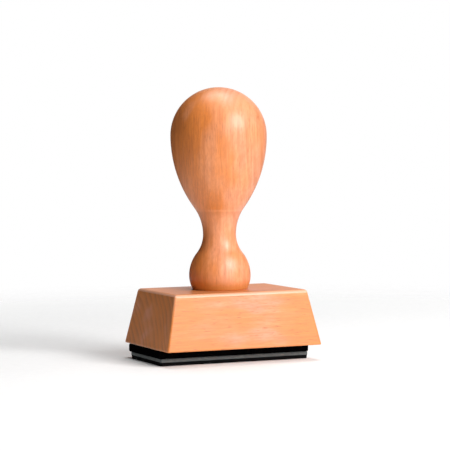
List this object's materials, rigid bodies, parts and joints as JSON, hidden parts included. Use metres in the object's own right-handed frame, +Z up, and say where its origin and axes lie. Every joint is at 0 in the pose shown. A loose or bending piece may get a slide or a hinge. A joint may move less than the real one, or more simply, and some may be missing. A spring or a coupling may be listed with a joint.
{
  "type": "rubber stamp",
  "caption": "Hand stamp: a turned pear-shaped wooden handle screwed to a tapered rectangular wooden block, with a foam cushion and a relief rubber die stuck underneath.",
  "frame": {"origin": "under the middle of the block, in the plane of the printing face that the stamp stands on", "axes": "+Z up the handle, +X along the length of the block, +Y across it"},
  "size_m": [0.06, 0.043, 0.0988],
  "materials": {
    "handle_wood": "turned beech, satin clear lacquer",
    "block_wood": "planed beech, satin clear lacquer",
    "screw_steel": "bright zinc plated",
    "adhesive_film": "thin translucent mounting film",
    "foam": "matt closed-cell foam",
    "die_rubber": "matt moulded rubber, relief stained black by ink"
  },
  "bodies": {
    "sole": {"rubber_die": "die_rubber", "die_adhesive": "adhesive_film", "cushion": "foam"},
    "block": {"mount_block": "block_wood", "block_adhesive": "adhesive_film"},
    "screw": {"handle_screw": "screw_steel"},
    "grip": {"handle": "handle_wood"}
  },
  "joints": [
    {"name": "cushion_press", "type": "slide", "parent": "sole", "child": "block", "axis": [0, 0, -1], "range_m": [0, 0.0008], "stiffness_N_per_m": 20000, "deforming": ["cushion"]},
    {"name": "handle_turn", "type": "hinge", "parent": "block", "child": "screw", "pos_m": [-0.0007, 0, 0.0255], "axis": [0, 0, 1], "range_deg": [0, 3600]},
    {"name": "handle_rise", "type": "slide", "parent": "screw", "child": "grip", "axis": [0, 0, 1], "range_m": [0, 0.02001]}
  ],
  "couplings": [
    {"joint": "handle_rise", "follows": "handle_turn", "m_per_rad": 0.00031831}
  ]
}
